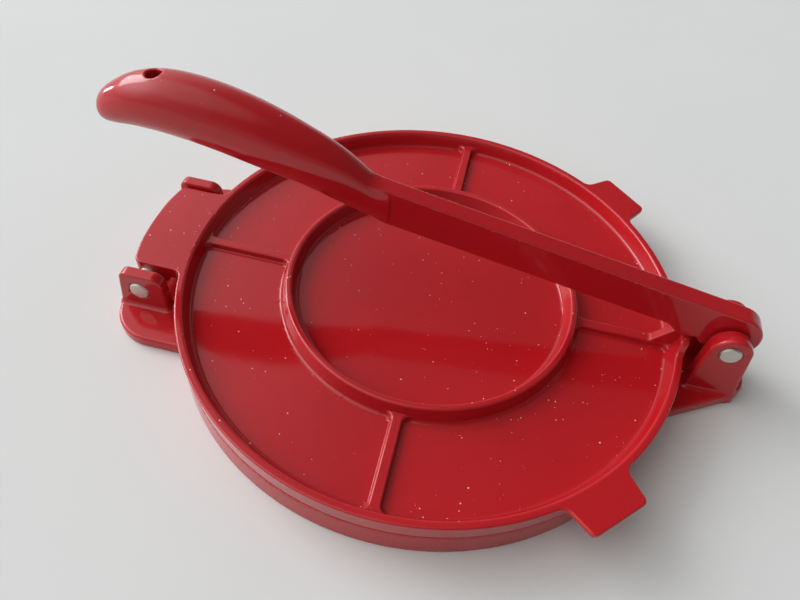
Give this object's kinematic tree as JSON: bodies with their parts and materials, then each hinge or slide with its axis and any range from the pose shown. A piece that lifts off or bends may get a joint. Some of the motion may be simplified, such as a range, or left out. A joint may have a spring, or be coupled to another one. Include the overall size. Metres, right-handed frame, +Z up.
{
  "type": "tortilla press",
  "caption": "Hand press with round ribbed platens hinged along one side and a swing-over lever that bears on the upper platen's rim.",
  "frame": {"origin": "on the table, under the middle of the round platens", "axes": "+X from the hinge to the lever's pivot, +Y away along the pins, +Z up from the table"},
  "size_m": [0.2579, 0.2, 0.0933],
  "materials": {
    "lower_platen": "glossy red enamel over sand-cast aluminium",
    "upper_platen": "glossy red enamel over sand-cast aluminium",
    "lever": "glossy red enamel over sand-cast aluminium",
    "hinge_pin": "bare cut rod, dull",
    "lever_pin": "bare cut rod, dull"
  },
  "bodies": {
    "base": {"lower_platen": "lower_platen", "hinge_pin": "hinge_pin", "lever_pin": "lever_pin"},
    "lid": {"upper_platen": "upper_platen"},
    "handle": {"lever": "lever"}
  },
  "joints": [
    {"name": "lever_swing", "type": "hinge", "parent": "base", "child": "handle", "pos_m": [0.1133, 0, 0.0284], "axis": [0, 1, 0], "range_deg": [0, 165]},
    {"name": "lid_hinge", "type": "hinge", "parent": "base", "child": "lid", "pos_m": [-0.111, 0, 0.0138], "axis": [0, -1, 0], "range_deg": [0, 110]}
  ],
  "couplings": [
    {"joint": "lid_hinge", "follows": "lever_swing", "ratio": 0.07}
  ]
}
